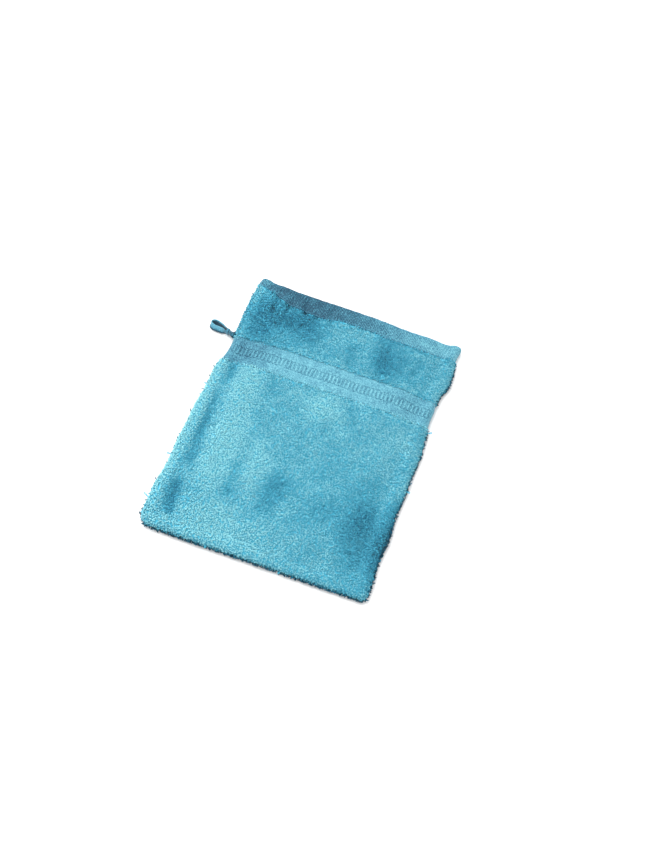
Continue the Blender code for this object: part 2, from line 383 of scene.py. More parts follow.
def addStudio():
    # One broad soft light over the left side, an even sky round the rest, and a white card underneath.
    bpy.context.scene.view_settings.view_transform = "Standard"
    settings = {"energy": light["keyPower"], "shape": "DISK", "size": light["keySize"]}
    addLight("key", "AREA", light["keyPlace"], settings)
    world = bpy.data.worlds.new("studio")
    world.use_nodes = True
    sky = world.node_tree.nodes["Background"]
    sky.inputs["Color"].default_value = linearColour(light["skyColour"])
    sky.inputs["Strength"].default_value = light["skyStrength"]
    bpy.context.scene.world = world
    half = light["floorSize"] / 2
    corners = [(-half, -half, 0), (half, -half, 0), (half, half, 0), (-half, half, 0)]
    floor = makePiece("floor", corners, [np.array([[0, 1, 2, 3]])], paperFloor())


# The cloth of the mitt. Its ground is where the loops are woven in; they stand about 2 mm proud of it.
cloth = {
    "lip": 1.05 * mm,  # from the ground's edge out to the finished outline
    "rimRadius": 2.6 * mm,
    "thickness": 0.9 * mm,
    "leftCorner": 9.0 * mm,
    "rightCorner": 3.4 * mm,
    "rimRise": 3.1 * mm,
    "rimSwell": 0.9 * mm,  # the seam allowance inside the rim
    "rimWidth": 5.0 * mm,
    "crown": 3.4 * mm,
    "backHeight": 2.0 * mm,
    "wave": 0.28 * mm,
    "waveSize": 34 * mm,
    "gridStep": 1.3 * mm,
    "cutSize": (0.182, 0.245),  # before sewing: 11 mm seam allowances and a 24 mm turning for the hem
}

# Creases and swells of the front, in millimetres: from, to, half width, height (below 0 it is a crease).
folds = [
    ((-69, -2), (-64, -52), 6, -1.5),
    ((-64, -72), (-62, -90), 7, -2.3),
    ((-66, 30), (-65, 14), 5, -1.0),
    ((-53, 20), (-50, -60), 10, 0.8),
    ((-33, -48), (-31, -68), 6, -0.9),
    ((-25, -25), (-20, -65), 7, 0.6),
    ((-4, -35), (-2, -75), 13, -0.45),
    ((57, -40), (60, -65), 22, -1.0),
    ((31, 82), (33, 60), 9, -0.9),
    ((57, 78), (54, 60), 5, -0.9),
    ((9, 72), (9, 57), 5, -0.7),
    ((25, 22), (28, 12), 6, -0.7),
    ((50, 24), (52, 18), 5, -0.5),
    ((-36, 25), (-34, 10), 7, -0.6),
    ((5, 18), (6, 18), 14, 0.6),
    ((-60, 100), (-60, 84), 4, -1.4),
    ((-48, 97), (-49, 86), 3, -1.0),
    ((-38, 98), (-36, 88), 3, -1.3),
    ((-18, 96), (-14, 84), 3, -1.3),
    ((25, 92), (25, 85), 3, -0.6),
    ((-42, 88), (-41, 88), 28, -1.8),
]

border = {
    "centre": 41 * mm,
    "halfWidth": 11 * mm,
    "edge": 0.3 * mm,  # the weave's own edge outside the stripes, tucked under the loops
    "overlap": 1.3 * mm,  # how far the loops' rows reach in over it
    "columnStep": {"front": 0.36 * mm, "back": 0.5 * mm},
    "rows": 61,
    "low": 0.1 * mm,
    "lift": 0.35 * mm,
    "sunk": 0.25 * mm,
}
hem = {
    "depth": 13 * mm,
    "narrowDepth": 7.5 * mm,
    "narrowAt": -58 * mm,
    "narrowRun": 18 * mm,
    "bulge": 2.5 * mm,  # how much deeper it is round one place
    "bulgeAt": -24 * mm,
    "bulgeReach": 18 * mm,
}
mouthY = halfLength - 1.0 * mm
groundHalf = halfWidth - cloth["lip"]
groundHalfLength = halfLength - cloth["lip"]
rimArc = cloth["rimRadius"] * np.pi / 2
halfArc = groundHalf - cloth["rimRadius"] + rimArc


def insetAt(arc):  # inset after walking arc in over the rim: r (1 - cos(arc / r)), then straight on
    turn = np.clip(arc / cloth["rimRadius"], 0.0, np.pi / 2)
    return cloth["rimRadius"] * (1.0 - np.cos(turn)) + np.maximum(arc - rimArc, 0.0)


def arcAtY(y):  # the walk from the closed end up to a height y well clear of the rim
    return y + groundHalfLength - cloth["rimRadius"] + rimArc


mouthArc = arcAtY(mouthY)


# How the sewn and washed outline strays from a rectangle, in millimetres. A bump is (middle, half width,
# amount) and a step (start, run, amount); a step with a negative run grows the other way.
outline = {
    "mouthLevel": -1.2,
    "mouthTilt": -1.0,  # how much more at the right end, and less at the left
    "mouthBumps": [(45, 34, -1.7)],
    "mouthSteps": [(-46, -34, 4.2), (50, 30, 0.8), (68, 10, 1.0)],
    "endTilt": 1.5,
    "leftBumps": [(60, 42, 1.0), (32, 22, 1.0), (56, 16, 1.3), (88, 14, 0.9)],
    "leftSteps": [(25, -120, 1.1), (87, 5, 0.7)],
    "rightLevel": -0.5,
    "rightBumps": [(84, 32, 2.0), (-50, 50, -0.5), (57, 12, -1.8)],
    "rightSteps": [(96, 6, 0.9)],
    "drawnIn": 1.3,  # both sides beside the border, which has no loops
    "wander": 0.35,
}


def stray(place, bumps, steps):  # the bumps and steps at a place along one edge, summed
    total = 0.0 * place
    for middle, reach, amount in bumps:
        total = total + amount * mm * bump((place / mm - middle) / reach)
    for start, run, amount in steps:
        total = total + amount * mm * smooth((place / mm - start) / run)
    return total


def outlineShift(x, y):
    # The mouth's shift fades out below it, the closed end's above it, and the sides' towards the middle.
    share = x / halfWidth
    mouthShift = (outline["mouthLevel"] + outline["mouthTilt"] * share) * mm
    mouthShift = mouthShift + stray(x, outline["mouthBumps"], outline["mouthSteps"])
    endShift = outline["endTilt"] * mm * share
    shiftY = mouthShift * smooth((y - 62 * mm) / (36 * mm)) + endShift * smooth((-y - 35 * mm) / (60 * mm))
    leftIn = stray(y, outline["leftBumps"], outline["leftSteps"])
    rightOut = outline["rightLevel"] * mm + stray(y, outline["rightBumps"], outline["rightSteps"])
    drawnIn = outline["drawnIn"] * mm * bump((y - border["centre"]) / (16 * mm))
    wander = outline["wander"] * mm * (np.sin(y / (9.0 * mm) + 1.3) + np.sin(y / (5.3 * mm)))
    shiftX = wander - drawnIn * np.sign(x) + np.where(x < 0, leftIn, rightOut)
    return shiftX * smooth(np.abs(share)), shiftY


def clothPlan(across, along):
    # across runs from one side seam over to the other with 0 in the middle, along from the closed end to the
    # mouth, both measured over the rim. Corners are rounded by squeezing a square onto a quarter circle.
    fromSide = insetAt(halfArc - np.abs(across))
    fromEnd = insetAt(along)
    radius = np.where(across < 0.0, cloth["leftCorner"], cloth["rightCorner"])
    a = np.clip(1.0 - fromSide / radius, 0.0, 1.0)
    b = np.clip(1.0 - fromEnd / radius, 0.0, 1.0)
    inCorner = (a > 0.0) & (b > 0.0)
    roundA = a * np.sqrt(1.0 - b * b / 2.0)
    roundB = b * np.sqrt(1.0 - a * a / 2.0)
    x = np.sign(across) * (groundHalf - np.where(inCorner, radius * (1.0 - roundA), fromSide))
    y = np.where(inCorner, radius * (1.0 - roundB), fromEnd) - groundHalfLength
    inset = np.where(inCorner, radius * (1.0 - np.hypot(roundA, roundB)), np.minimum(fromSide, fromEnd))
    shiftX, shiftY = outlineShift(x, y)
    return x + shiftX, y + shiftY, np.maximum(inset, 0.0)


def frontHeight(x, y, inset):
    # The rim's rounding, the swell over the seam allowance, the crown over the pocket, and the folds.
    height = seamHeight + cloth["rimRise"] * roundUp(inset / cloth["rimRadius"])
    height = height + cloth["rimSwell"] * bump((inset - cloth["rimWidth"]) / cloth["rimWidth"])
    height = height + cloth["crown"] * smooth((inset - 8 * mm) / (18 * mm))
    away = smooth(inset / (8 * mm))
    for start, end, width, lift in folds:
        height = height + away * lift * mm * bump(nearLine(x, y, start, end) / (width * mm))
    return height + away * cloth["wave"] * waves(x, y, cloth["waveSize"], 5)


def backHeight(x, y, inset):  # the rim's rounding down to the flat that the mitt lies on
    drop = seamHeight - cloth["backHeight"]
    return seamHeight - 0.25 * mm - (drop - 0.25 * mm) * roundUp(inset / cloth["rimRadius"])


def clothPoint(face, across, along):  # a place on the outside of the front's or the back's ground
    across, along = np.broadcast_arrays(across, along)
    x, y, inset = clothPlan(across, along)
    height = frontHeight(x, y, inset) if face == "front" else backHeight(x, y, inset)
    return np.stack([x, y, height], -1)


def clothNormal(face, across, along, step=0.3 * mm):  # outward, from the slopes across and along
    rightward = clothPoint(face, across + step, along) - clothPoint(face, across - step, along)
    upward = clothPoint(face, across, along + step) - clothPoint(face, across, along - step)
    return unit(np.cross(rightward, upward)) * (1.0 if face == "front" else -1.0)


def sideOrder(face, grids):  # the back faces down, so its grid's rows run the other way to keep faces outward
    return [g if face == "front" else g[::-1] for g in grids]


def addCloth(face, material):
    # The ground weave as one closed sheet: its outside, and its inside a thickness in along the normals.
    columns = int(2 * halfArc / cloth["gridStep"])
    rows = int(mouthArc / cloth["gridStep"])
    across, along = np.meshgrid(
        np.linspace(-halfArc, halfArc, columns), np.linspace(0.0, mouthArc, rows), indexing="ij"
    )
    outside = clothPoint(face, across, along)
    inside = outside - cloth["thickness"] * clothNormal(face, across, along)
    points = np.stack(sideOrder(face, [outside, inside]))
    return makePiece(face + "_cloth", points, shellFaces(columns, rows), material)


# The flat border: a row of upright rounded figures between two plain stripes.
figures = {
    "pitch": 2.8 * mm,
    "first": -71.5 * mm,
    "count": 53,
    "halfHeight": 3.5 * mm,
    "halfWidth": 1.0 * mm,
    "corner": 0.95 * mm,
    "groove": 0.30 * mm,
    "grooveDepth": 0.30 * mm,
    "dome": 0.28 * mm,
}


def figureRelief(x, y):
    # Signed distance to the nearest figure's rounded outline: a groove along it, and a low dome within.
    number = np.clip(np.round((x - figures["first"]) / figures["pitch"]), 0, figures["count"] - 1)
    dx = np.abs(x - figures["first"] - number * figures["pitch"]) - figures["halfWidth"] + figures["corner"]
    dy = np.abs(y - border["centre"]) - figures["halfHeight"] + figures["corner"]
    outside = np.hypot(np.maximum(dx, 0.0), np.maximum(dy, 0.0))
    distance = outside + np.minimum(np.maximum(dx, dy), 0.0) - figures["corner"]
    groove = bump(distance / figures["groove"])
    dome = smooth(-distance / figures["halfWidth"])
    return figures["dome"] * dome - figures["grooveDepth"] * groove, groove, dome


# Broad painted shade along the border, with a little painted light at the right: place, reach across and
# along, and the change.
borderLightAndShadePatches = [
    ((-64, 48), (40, 10), -0.28),
    ((-64, 34), (30, 10), -0.26),
    ((-64, 41), (30, 7), -0.12),
    ((64, 41), (32, 16), -0.16),
    ((64, 41), (30, 7), 0.10),
]


def stripeRelief(y):  # fine cords along both edges of each plain stripe
    relief = np.zeros_like(y)
    for edge in (-10.4, -9.4, -4.6, 4.6, 9.4, 10.4):
        relief = relief + bump((y - border["centre"] - edge * mm) / (0.45 * mm))
    return 0.16 * mm * relief


def addBorder(face, material):
    # A closed sheet over the ground, its outside raised by the figures and the stripes and low at its edges.
    halfRows = border["halfWidth"] + border["edge"]
    columns, rows = int(2 * halfArc / border["columnStep"][face]), border["rows"]
    along = np.linspace(arcAtY(border["centre"] - halfRows), arcAtY(border["centre"] + halfRows), rows)
    across, along = np.meshgrid(np.linspace(-halfArc, halfArc, columns), along, indexing="ij")
    base = clothPoint(face, across, along)
    normal = clothNormal(face, across, along)
    x, y = base[..., 0], base[..., 1]
    relief, groove, dome = figureRelief(x, y)
    ends = smooth(6.0 * (1.0 - np.abs(y - border["centre"]) / halfRows))
    lift = border["low"] + ends * (border["lift"] + relief + stripeRelief(y))
    outside = base + normal * lift[..., None]
    inside = base - normal * border["sunk"]
    points = np.stack(sideOrder(face, [outside, inside]))
    piece = makePiece(face + "_border", points, shellFaces(columns, rows), material)
    # Painted shade in the figures' grooves and the sunk edges, painted light on the domes and the stripes'
    # cords.
    shade = -0.11 + 0.12 * dome - 0.36 * groove + 0.5 * stripeRelief(y) / mm - 0.1 * (1.0 - ends)
    shade = shade + 0.05 * waves(x, y, 10 * mm, 21) + 0.03 * waves(x, y, 2.6 * mm, 22, 24)
    shade = shade + patchShade(x, y, borderLightAndShadePatches)
    addAttribute(piece, "weaveShade", np.stack(sideOrder(face, [shade, shade])))
    return piece


hemShape = {
    "ribPitch": 1.15 * mm,
    "ribHeight": 0.13 * mm,
    "columnStep": 0.24 * mm,
    "lift": 0.35 * mm,
    "rows": 13,
    "foldSteps": 9,
}


def hemDepth(x):  # the turning is shallower towards the left seam, and bulges a little beside that
    bulge = hem["bulge"] * bump((x - hem["bulgeAt"]) / hem["bulgeReach"])
    narrowing = smooth((hem["narrowAt"] - x) / hem["narrowRun"] + 0.5)
    return hem["depth"] + bulge - (hem["depth"] - hem["narrowDepth"]) * narrowing


def addHem(face, material):
    # The cloth's end turned in and stitched: outside up to the mouth, round the fold, and back down inside.
    columns = int(2 * halfArc / hemShape["columnStep"])
    across = np.linspace(-halfArc, halfArc, columns)[:, None]
    share = np.linspace(0.0, 1.0, hemShape["rows"])[None, :]
    depth = hemDepth(across) + 0.35 * mm * np.sin(across / (3.7 * mm))
    along = mouthArc - depth * (1.0 - share)
    outer = clothPoint(face, across, along)
    normal = clothNormal(face, across, along)
    rib = np.cos(2 * np.pi * across / hemShape["ribPitch"]) * hemShape["ribHeight"]
    tuck = smooth(share * 12.0)
    edgeWave = 0.1 * mm * waves(outer[..., 0], outer[..., 1], 7 * mm, 31)
    lift = (hemShape["lift"] * tuck + rib + edgeWave)[..., None]
    inLift = (cloth["thickness"] + hemShape["lift"] + rib)[..., None]
    outside = outer + normal * lift
    inside = (outer - normal * inLift)[:, ::-1]
    endNormal = normal[:, -1:]
    upward = unit(outer[:, -1:] - outer[:, -2:-1])
    turn = np.linspace(0.0, np.pi, hemShape["foldSteps"])[None, 1:-1, None]
    top, bottom = outside[:, -1:], inside[:, :1]
    middle, reach = (top + bottom) / 2, np.linalg.norm(top - bottom, axis=-1, keepdims=True) / 2
    fold = middle + reach * (np.cos(turn) * endNormal + np.sin(turn) * upward)
    rings = np.concatenate([outside, fold, inside], 1)
    if face == "back":
        rings = rings[:, ::-1]
    piece = makePiece(face + "_hem", rings, tubeFaces(columns, rings.shape[1]), material)
    x, y = rings[..., 0], rings[..., 1]
    # Painted light and shade along the hem: darker towards the left and round x = -38 mm, paler towards the
    # right and at the far left end, over the ribs and a random mottle.
    shade = -0.64 + 0.18 * np.cos(2 * np.pi * across / hemShape["ribPitch"]) + 0.06 * waves(x, y, 9 * mm, 33)
    shade = shade + 0.10 * waves(x, y, 2.4 * mm, 34, 24) + 0.25 * smooth((-x - 60 * mm) / (16 * mm))
    shade = shade + 0.53 * smooth((x + 30 * mm) / (110 * mm)) - 0.06 * bump((x + 38 * mm) / (28 * mm))
    addAttribute(piece, "weaveShade", shade)
    return piece


# Terry loops. Each is one yarn standing out of the ground, over and back in.
pile = {
    "front": {
        "spacing": 0.9 * mm,
        "height": 1.3 * mm,
        "yarn": 0.28 * mm,
        "foot": 0.62 * mm,
        "shade": 0.0,
        "bands": 5,  # pieces below the border, and above it
        "highBands": 2,
        "seed": 100,
    },
    "back": {
        "spacing": 1.90 * mm,
        "height": 1.5 * mm,
        "yarn": 0.40 * mm,
        "foot": 1.2 * mm,
        # below 0: painted shade, the back lying in shadow under the front
        "shade": -0.12,
        "bands": 2,
        "highBands": 1,
        "seed": 110,
    },
    "inner": {"spacing": 2.0 * mm, "height": 1.5 * mm, "yarn": 0.40 * mm, "foot": 1.2 * mm, "shade": -0.1},
    # rim loops: dark, a painted shadow round the back's edges under the front's rim
    "rim": {"spacing": 1.05 * mm, "height": 2.2 * mm, "yarn": 0.30 * mm, "foot": 0.8 * mm, "shade": -0.30},
    "rimDepth": 3.4 * mm,
    "litLeftRim": 12 * mm,  # at the left, where light falls, only a share of these dark loops is kept
    "litLeftShare": 0.3,
    "innerDepth": 62 * mm,
    "innerMargin": 10 * mm,
    "cells": 84,  # loops along each side of the sheet of colour cells
    "rings": 5,
}

# Broad patches of painted light (above 0) and painted shade (below 0), standing in part also for loops that
# lie over and look darker, and loops that stand and look paler.
lightAndNapPatches = [
    ((-66, 76), (30, 28), -0.46),
    ((-56, 57), (36, 11), -0.26),
    ((-52, 71), (18, 16), -0.14),
    ((4, 66), (26, 14), -0.10),
    ((62, 72), (16, 20), -0.08),
    ((-28, 74), (22, 20), -0.40),
    ((36, 70), (22, 24), -0.36),
    ((-50, 14), (18, 30), 0.30),
    ((-46, -34), (18, 44), 0.40),
    ((-32, -88), (36, 16), 0.38),
    ((-18, -40), (16, 24), 0.24),
    ((6, 16), (26, 18), 0.26),
    ((-2, -55), (16, 20), -0.24),
    ((30, -58), (20, 20), -0.18),
    ((60, -58), (28, 28), -0.24),
    ((60, 8), (16, 22), 0.10),
    ((-78, -30), (9, 80), 0.62),
    ((80, -62), (12, 46), -0.55),
    ((66, -84), (20, 24), -0.20),
    ((-74, -12), (8, 28), 0.22),
    ((-44, -62), (20, 22), 0.12),
    ((2, -86), (26, 16), 0.13),
    ((30, -26), (18, 20), -0.10),
    ((-10, -100), (80, 9), 0.12),
]


def lightAndNapShade(x, y, inset):
    # Small random patches, the broad painted light and shade above, painted shade in creases and painted
    # light on ridges, and painted light on the rims, most at the left.
    shade = 0.04 + 0.05 * waves(x, y, 7 * mm, 41) + 0.04 * waves(x, y, 22 * mm, 42)
    # the broad patches of painted light and shade
    shade = shade + patchShade(x, y, lightAndNapPatches)
    # painted shade in the creases, painted light over the swells
    for start, end, width, lift in folds:
        shade = shade + 0.19 * lift * bump(nearLine(x, y, start, end) / (width * mm))
    # painted light on the rims, fading out towards the right
    return shade + 0.20 * bump((inset - 4 * mm) / (5 * mm)) * smooth((30 * mm - x) / (60 * mm))


def loopRing(base, normal, draw, size):
    # Along q from 0 to 1: across the foot -w/2 cos(pi q), up h sin(pi q)^0.8, sideways by a curl sin(2 pi q),
    # and leaning over by the square of the height. Three corners round the yarn turn with q, like its twist.
    count = len(base)
    q = np.linspace(0.0, 1.0, pile["rings"])[None, :, None]
    rise = np.sin(np.pi * q) ** 0.8
    height = size["height"] * (0.78 + 0.44 * draw.random((count, 1, 1)))
    foot = size["foot"] * (0.7 + 0.6 * draw.random((count, 1, 1)))
    heading = np.pi * draw.random((count, 1, 1)) * 2
    guide = unit(np.cross(np.array([0.25, 1.0, 0.12]), normal))[:, None]
    up = normal[:, None]
    other = np.cross(up, guide)
    ahead = np.cos(heading) * guide + np.sin(heading) * other
    side = np.cross(up, ahead)
    lean = draw.normal(0.0, 0.5, (count, 1, 2)) * height
    curl = draw.normal(0.0, 0.28, (count, 1, 1)) * foot
    bulge = 1.0 + 0.5 * np.sin(np.pi * q)
    line = base[:, None] - ahead * foot / 2 * np.cos(np.pi * q) * bulge
    line = line + side * curl * np.sin(2 * np.pi * q)
    line = line + up * (height * rise - 0.2 * mm)
    line = line + (guide * lean[..., :1] + other * lean[..., 1:]) * rise**2
    flow = unit(np.gradient(line, axis=1))
    first = unit(side - (side * flow).sum(-1, keepdims=True) * flow)
    second = np.cross(first, flow)
    thick = size["yarn"] * (0.82 + 0.18 * np.sin(np.pi * q)) * (0.85 + 0.3 * draw.random((count, 1, 1)))
    angle = 2 * np.pi * np.arange(3)[None, None, :, None] / 3 + 4.0 * q[..., None]
    around = np.cos(angle) * first[:, :, None] + np.sin(angle) * second[:, :, None]
    points = line[:, :, None] + thick[..., None] * around
    return points, np.broadcast_to(rise, (count, pile["rings"], 1))


def loopFaces(count):  # the one loop's faces, numbered on for every other loop
    rings = pile["rings"]
    body, start, end = tubeFaces(rings, 3)
    step = (np.arange(count) * rings * 3)[:, None, None]
    return [(body[None] + step).reshape(-1, 4), (np.concatenate([start, end])[None] + step).reshape(-1, 3)]


def loopCells(piece, count):
    # Gives each loop its own cell of one square sheet, with a margin: u runs along the yarn and v round it.
    rings, cells = pile["rings"], pile["cells"]
    i, k = np.meshgrid(np.arange(rings - 1), np.arange(3), indexing="ij")
    corner = np.array([[0, 0], [1, 0], [1, 1], [0, 1]])
    quad = np.stack([i.ravel()[:, None] + corner[:, 0], k.ravel()[:, None] + corner[:, 1]], -1).astype(float)
    quad = quad / [rings - 1, 3.0]
    cap = np.array([[[0, 0.02], [0.1, 0.05], [0, 0.1]], [[1, 0.9], [0.9, 0.95], [1, 0.98]]])
    number = np.arange(count)
    place = np.stack([number % cells, number // cells], -1)[:, None, None]
    quads = (place + 0.08 + 0.84 * quad[None]) / cells
    caps = (place + 0.08 + 0.84 * cap[None]) / cells
    layer = piece.data.uv_layers.new(name="OFBake")
    values = np.concatenate([quads.reshape(-1, 2), caps.reshape(-1, 2)]).astype(np.float32)
    layer.uv.foreach_set("vector", values.ravel())


def addPile(name, face, kind, seed, material, low, high):
    # Loops in staggered rows over the cloth between two distances from the closed end, clear of the flat
    # weave. The inner kind stands inside the mitt; the rim kind, painted shadow, only round its edges.
    size = pile[kind]
    inside = kind == "inner"
    draw = np.random.default_rng(seed)
    rows = max(int((high - low) / size["spacing"]), 1)
    columns = int(2 * halfArc / size["spacing"])
    row, column = np.meshgrid(np.arange(rows), np.arange(columns), indexing="ij")
    jitter = draw.uniform(-0.42, 0.42, (2, rows, columns))
    along = low + (row + 0.5 + jitter[0]) * (high - low) / rows
    across = -halfArc + (column + 0.5 + 0.25 * (-1.0) ** row + jitter[1]) * 2 * halfArc / columns
    along, across = along.ravel(), np.clip(across.ravel(), -halfArc, halfArc)
    margin = pile["innerMargin"] if inside else 0.0
    keep = np.abs(across) < halfArc - margin + 1e-9
    if kind == "rim":
        keep &= np.minimum(halfArc - np.abs(across), along) < pile["rimDepth"]
        keep &= (across > -halfArc + pile["litLeftRim"]) | (draw.random(len(across)) < pile["litLeftShare"])
    if not inside:
        keep &= along < mouthArc - hemDepth(across) + draw.uniform(-0.6, 0.9, len(along)) * mm
        fromBorder = np.abs(along - arcAtY(border["centre"])) - border["halfWidth"]
        keep &= fromBorder > draw.uniform(-1.3, 0.3, len(along)) * mm
    along, across = along[keep], across[keep]
    base = clothPoint(face, across, along)
    normal = clothNormal(face, across, along)
    if inside:
        base = base - normal * cloth["thickness"]
        normal = -normal
    if kind == "rim":
        normal[:, 2] = np.maximum(normal[:, 2], -0.2)
        normal = unit(normal)
    points, rise = loopRing(base, normal, draw, size)
    points[..., 2] = np.maximum(points[..., 2], 0.05 * mm)
    count = len(base)
    piece = makePiece(name, points, loopFaces(count), material)
    loopCells(piece, count)
    # Painted shade: each loop darker down at its root and paler up at its top; a random tone per loop; and
    # the kind's own shift, painted shade for the back and rim loops.
    shade = 0.51 + 0.25 * rise + 0.09 * draw.normal(size=(count, 1, 1)) + size["shade"]
    if face == "front" and not inside:
        shade = shade + lightAndNapShade(*clothPlan(across, along))[:, None, None]
    if not inside:
        # Painted shade: loops beside the hem and the border's upper edge, and loops low by the seam under the
        # rim.
        fromHem = mouthArc - hemDepth(across) - along
        above = along - arcAtY(border["centre"])
        fromStripe = np.where(above > 0.0, above, 1.0) - border["halfWidth"]
        atSeam = 1.0 - smooth((base[:, 2] - seamHeight) / (1.6 * mm))
        paintedShade = 0.26 * bump(fromHem / (2.6 * mm)) + 0.09 * bump(fromStripe / (2.2 * mm)) + 0.45 * atSeam
        shade = shade - paintedShade[:, None, None]
    addAttribute(piece, "yarnShade", np.clip(np.repeat(shade, 3, axis=2), 0.0, 1.0))
    print(name, "has", count, "loops")
    return piece


def tubeAlong(line, radius, sides=6):
    # A round thread along a line of points, its section kept square to the line and never spinning about it.
    line = np.asarray(line)
    flow = unit(np.gradient(line, axis=0))
    guide = np.array([0.0, 0.0, 1.0]) if np.abs(flow[:, 2]).max() < 0.95 else np.array([0.31, 0.12, 0.94])
    first = unit(np.cross(flow, guide))
    second = np.cross(first, flow)
    angle = 2 * np.pi * np.arange(sides)[None, :, None] / sides
    return line[:, None] + radius * (np.cos(angle) * first[:, None] + np.sin(angle) * second[:, None])


def addThread(name, line, radius, material, sides=6):
    rings = tubeAlong(line, radius, sides)
    return makePiece(name, rings, tubeFaces(len(rings), sides), material)


# The turned-in edges inside the three seams, two layers together, overlocked so that they don't fray.
allowance = {"outer": 2.6 * mm, "inner": 11.2 * mm, "low": 3.0 * mm, "high": 4.5 * mm, "step": 1.5 * mm}


def seamRun(side):
    # The seam's own line in plan, as its start, its end and the way inward.
    reach = groundHalf - 0.6 * mm
    low = -groundHalfLength + 2.6 * mm
    if side == "end":
        reach, low = reach - 12 * mm, low - 2.2 * mm
        return np.array([-reach, low]), np.array([reach, low]), np.array([0.0, 1.0])
    sign = -1.0 if side == "left" else 1.0
    return np.array([sign * reach, low]), np.array([sign * reach, mouthY - 1.5 * mm]), np.array([-sign, 0.0])


def addAllowance(side, material):
    # Both layers as one flat bar along the seam, its section a filled-out oval and its inner edge rippled.
    start, end, inward = seamRun(side)
    rows = int(np.linalg.norm(end - start) / allowance["step"])
    share = np.linspace(0.0, 1.0, rows)[:, None, None]
    angle = np.linspace(0.0, 2 * np.pi, 17)[:-1][None, :, None]
    middle = (allowance["outer"] + allowance["inner"]) / 2
    halfSpan = (allowance["inner"] - allowance["outer"]) / 2
    halfThick = (allowance["high"] - allowance["low"]) / 2
    ripple = 0.25 * mm * waves(share * 180 * mm, 0 * share, 9 * mm, 61)
    reach = middle + fillOut(np.cos(angle), 0.5) * (halfSpan + ripple)
    plan = start + share * (end - start) + inward * reach
    level = (allowance["low"] + allowance["high"]) / 2
    height = level + halfThick * fillOut(np.sin(angle), 0.6) + 0 * share
    rings = np.concatenate([plan, height], -1)
    turned = np.cross(np.append(end - start, 0), np.append(inward, 0))[2] > 0
    rings = rings if not turned else rings[:, ::-1]
    return makePiece(side + "_seam_allowance", rings, tubeFaces(rows, 16), material)


overlock = {"pitch": 2.2 * mm, "radius": 0.19 * mm, "bite": 2.4 * mm, "steps": 12}


def addOverlock(side, material):
    # An overlock stitch wraps the edge: an oval helix round it, leaning back a little over the top.
    start, end, inward = seamRun(side)
    turns = int(np.linalg.norm(end - start) / overlock["pitch"])
    turn = np.linspace(0.0, turns, turns * overlock["steps"] + 1)[:, None]
    swing = 2 * np.pi * turn
    centre = allowance["inner"] - overlock["bite"] + 0.45 * mm
    reach = centre + overlock["bite"] * np.cos(swing)
    ahead = turn / turns + 0.3 / turns * np.sin(swing)
    plan = start + ahead * (end - start) + inward * reach
    halfThick = (allowance["high"] - allowance["low"]) / 2 + 0.16 * mm
    height = (allowance["low"] + allowance["high"]) / 2 + halfThick * np.sin(swing)
    return addThread(side + "_overlock", np.concatenate([plan, height], 1), overlock["radius"], material, 5)


stitch = {
    "length": 2.6 * mm,
    "radius": 0.22 * mm,
    "above": 1.3 * mm,
    "margin": 4 * mm,  # from the side seams
    "proud": 0.42 * mm,
    "dip": 0.55 * mm,
    "steps": 8,
}


def addHemThread(face, material):
    # A lockstitch row along the hem: between needle holes the thread lies on top, and at each it dips in.
    reach = halfArc - stitch["margin"]
    count = int(2 * reach / stitch["length"])
    place = np.linspace(0.0, count, count * stitch["steps"] + 1)
    across = -reach + place * 2 * reach / count
    along = mouthArc - hemDepth(across) + stitch["above"]
    lift = stitch["proud"] - stitch["dip"] * (1.0 - np.abs(np.sin(np.pi * place))) ** 3
    line = clothPoint(face, across, along) + clothNormal(face, across, along) * lift[:, None]
    return addThread(face + "_hem_stitching", line, stitch["radius"], material, 6)


# The hanging loop: one flat tape, its two ends together in the left seam, opening out into an eye.
tape = {
    "rootGap": 1.7 * mm,
    "rootY": 55.1 * mm,
    "heading": 13.5,
    "restDrop": 1.2 * mm,
    "legSpacing": 1.1 * mm,
    "eyeHalfWidth": 2.45 * mm,
    "eyeCentre": 12.6 * mm,
    "eyeReach": 4.2 * mm,
    "sewnIn": 4.0 * mm,
    "tackStart": 0.8 * mm,
    "tackLength": 1.5 * mm,
    "tackTurns": 5,
    "tackThread": 0.2 * mm,
    "twistStart": -3.2 * mm,
    "twistEnd": 0.8 * mm,
    "nearFlare": 47.0,  # how far the near leg leans, its lower edge outward
    "farFlare": -28.0,  # the far leg leans the same way, so its upper edge is outward
    "width": 4.5 * mm,
    "pinched": 1.0,  # how narrow the winding pulls it
    "thickness": 0.9 * mm,
    "ribPitch": 0.9 * mm,
}


def tapeAxes():  # out along the loop, across it towards the mouth, and up from the loop
    heading = np.radians(tape["heading"])
    reach = tape["eyeCentre"] + tape["eyeReach"]
    along = unit(np.array([-np.cos(heading) * reach, np.sin(heading) * reach, -tape["restDrop"]]))
    across = unit(np.cross(along, [0.0, 0.0, 1.0]))
    return along, across, np.cross(across, along)


def tapeRoot():  # where the loop leaves the seam
    return np.array([-halfWidth - tape["rootGap"], tape["rootY"], seamHeight])


